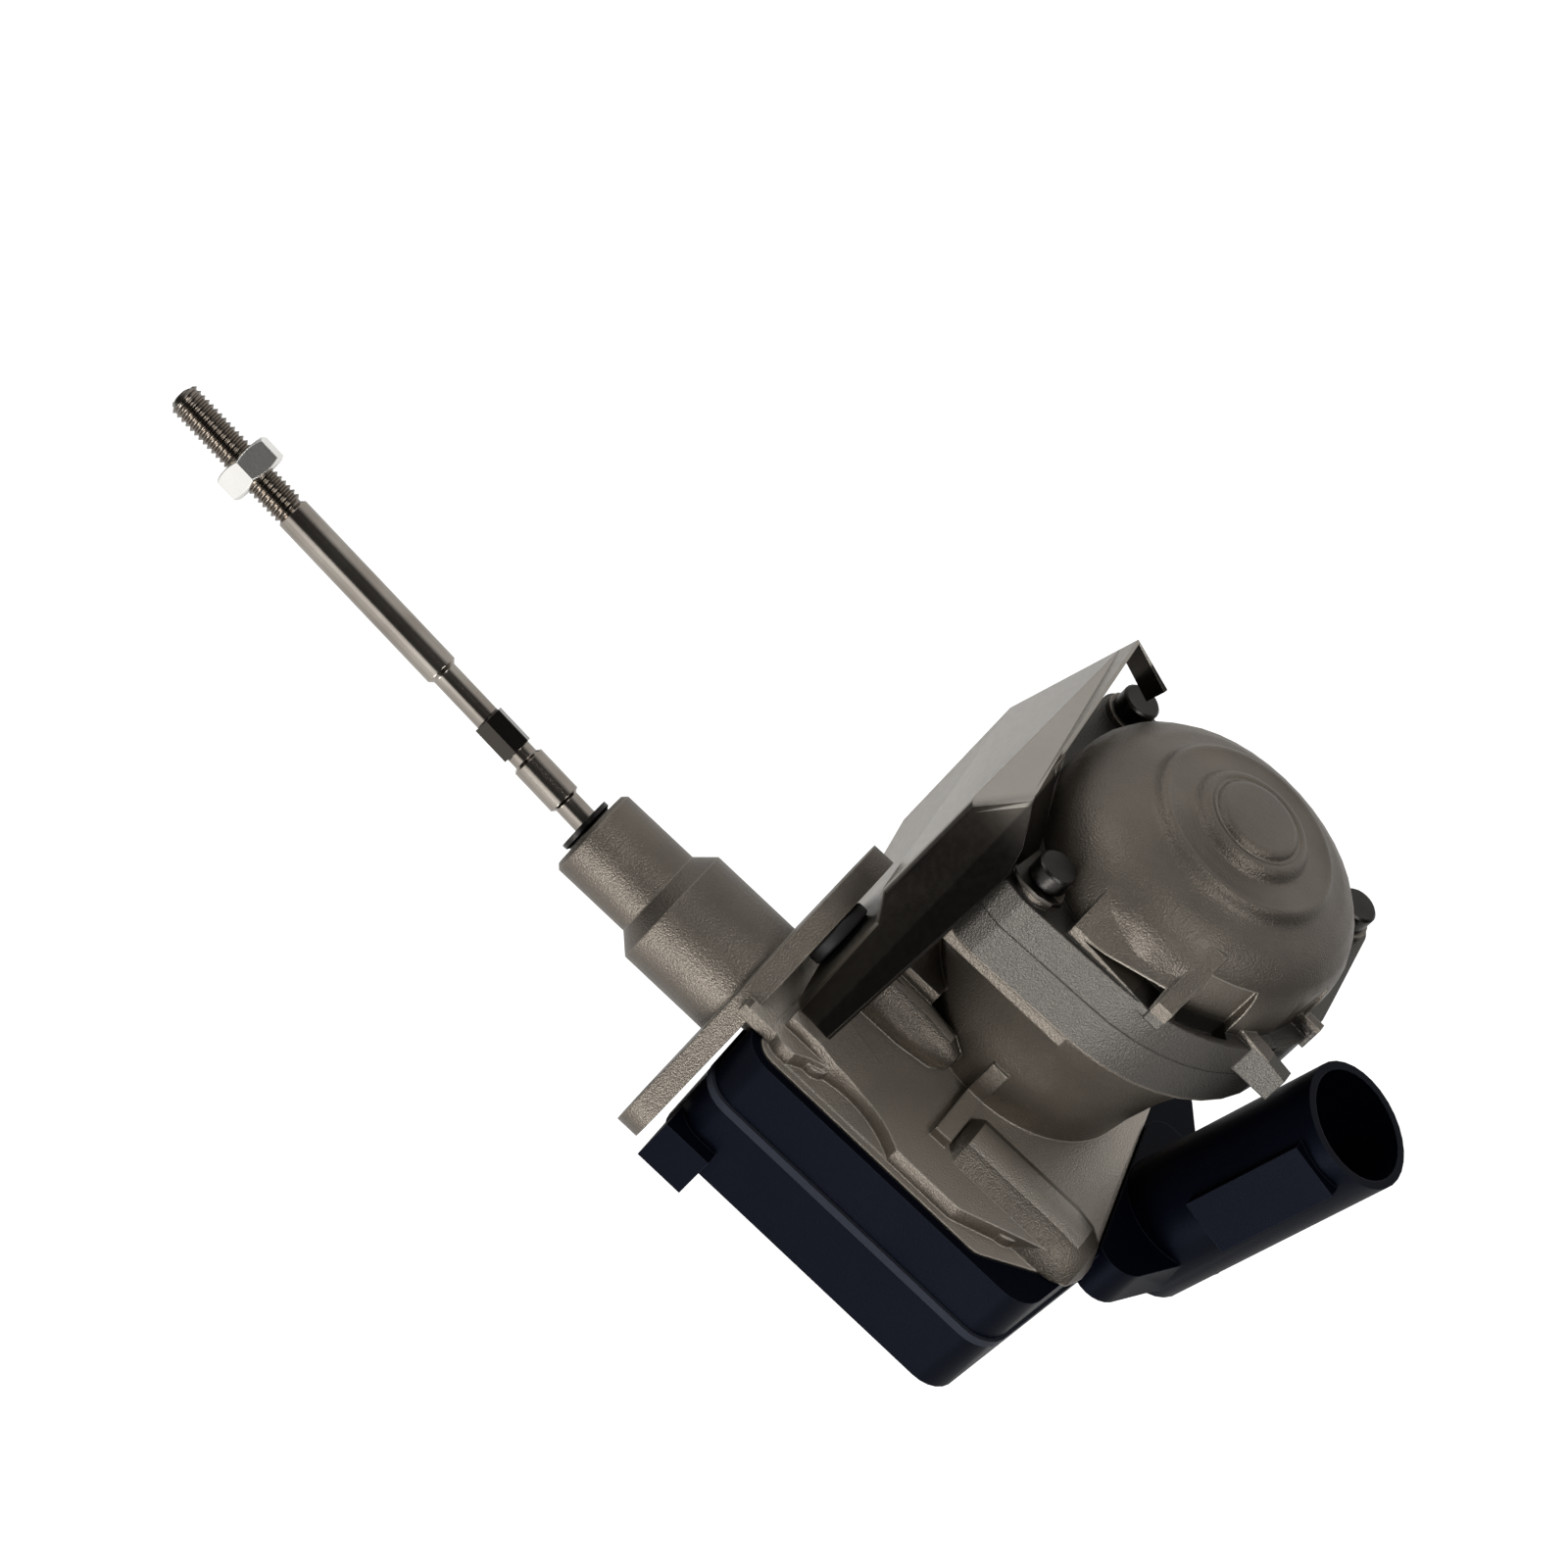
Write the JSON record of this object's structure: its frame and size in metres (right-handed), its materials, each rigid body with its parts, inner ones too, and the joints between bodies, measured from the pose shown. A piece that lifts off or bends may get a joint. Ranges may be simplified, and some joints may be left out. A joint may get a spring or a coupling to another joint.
{
  "type": "wastegate actuator",
  "caption": "Electric wastegate actuator with a cast gear housing, domed motor cap, bent steel heat shield, black gear cover with a socket, and a threaded push rod on a ball",
  "frame": {"origin": "on the snout's axis, which is the slide's axis, at the front face of the mounting flange", "axes": "+X along the snout towards the rod's tip, +Z along the motor's axis towards its domed cap, +Y towards the side of the case away from the motor"},
  "size_m": [0.2314, 0.0866, 0.0969],
  "materials": {
    "cast_aluminium": "as cast, stained brown",
    "stainless_sheet": "bright rolled sheet",
    "black_plastic": "moulded, satin",
    "seal_rubber": "matt",
    "blackened_steel": "blackened",
    "zinc_plate": "zinc plated",
    "tinned_brass": "tinned",
    "ferrite": "matt grey, sintered",
    "turned_steel": "turned, a little dull",
    "copper": "bare copper",
    "sintered_bronze": "oiled",
    "gear_nylon": "natural",
    "circuit_board": "solder mask"
  },
  "bodies": {
    "case": {"gear_housing": "cast_aluminium", "motor_cap": "cast_aluminium", "heat_shield": "stainless_sheet", "gear_cover": "black_plastic", "cover_gasket": "seal_rubber", "cap_screw_1": "blackened_steel", "cap_screw_2": "blackened_steel", "cap_screw_3": "blackened_steel", "cover_screw_1": "zinc_plate", "cover_screw_2": "zinc_plate", "cover_screw_3": "zinc_plate", "cover_screw_4": "zinc_plate", "cover_screw_5": "zinc_plate", "connector_pin_1": "tinned_brass", "connector_pin_2": "tinned_brass", "connector_pin_3": "tinned_brass", "connector_pin_4": "tinned_brass", "connector_pin_5": "tinned_brass", "motor_can": "zinc_plate", "motor_end_plate": "black_plastic", "magnet_near": "ferrite", "magnet_far": "ferrite", "lower_bearing": "sintered_bronze", "upper_bearing": "sintered_bronze", "idler_pin": "turned_steel", "output_pin": "turned_steel", "sensor_board": "circuit_board", "snout_bush": "sintered_bronze", "snout_seal": "seal_rubber", "tail_bush": "sintered_bronze"},
    "rotor": {"rotor_shaft": "turned_steel", "armature": "blackened_steel", "commutator": "copper", "motor_pinion": "turned_steel"},
    "idler": {"idler_gear": "gear_nylon"},
    "output": {"output_gear": "gear_nylon", "sensor_magnet": "ferrite"},
    "slide": {"plunger": "turned_steel"},
    "rod": {"push_rod": "turned_steel"},
    "nut": {"lock_nut": "zinc_plate"}
  },
  "joints": [
    {"name": "rotor_turn", "type": "hinge", "parent": "case", "child": "rotor", "pos_m": [-0.04, -0.031, 0], "axis": [0, 0, 1], "range_deg": [-900, 37.4]},
    {"name": "idler_turn", "type": "hinge", "parent": "case", "child": "idler", "pos_m": [-0.04704, -0.014, 0], "axis": [0, 0, 1], "range_deg": [-10.5, 250.1]},
    {"name": "output_turn", "type": "hinge", "parent": "case", "child": "output", "pos_m": [-0.027, -0.0111, 0], "axis": [0, 0, 1], "range_deg": [-81, 3.5]},
    {"name": "rod_slide", "type": "slide", "parent": "case", "child": "slide", "axis": [1, 0, 0], "range_m": [-0.0005, 0.0121]},
    {"name": "rod_swing", "type": "hinge", "parent": "slide", "child": "rod", "pos_m": [0.029, 0, 0], "axis": [0, -1, 0], "range_deg": [-11.5, 3]},
    {"name": "nut_thread", "type": "slide", "parent": "rod", "child": "nut", "axis": [0.9973, 0, 0.0732], "range_m": [-0.006, 0.012]}
  ],
  "couplings": [
    {"joint": "idler_turn", "follows": "rotor_turn", "ratio": -0.27778},
    {"joint": "output_turn", "follows": "rotor_turn", "ratio": 0.089869},
    {"joint": "rod_slide", "follows": "rotor_turn", "m_per_rad": -0.00076389}
  ]
}
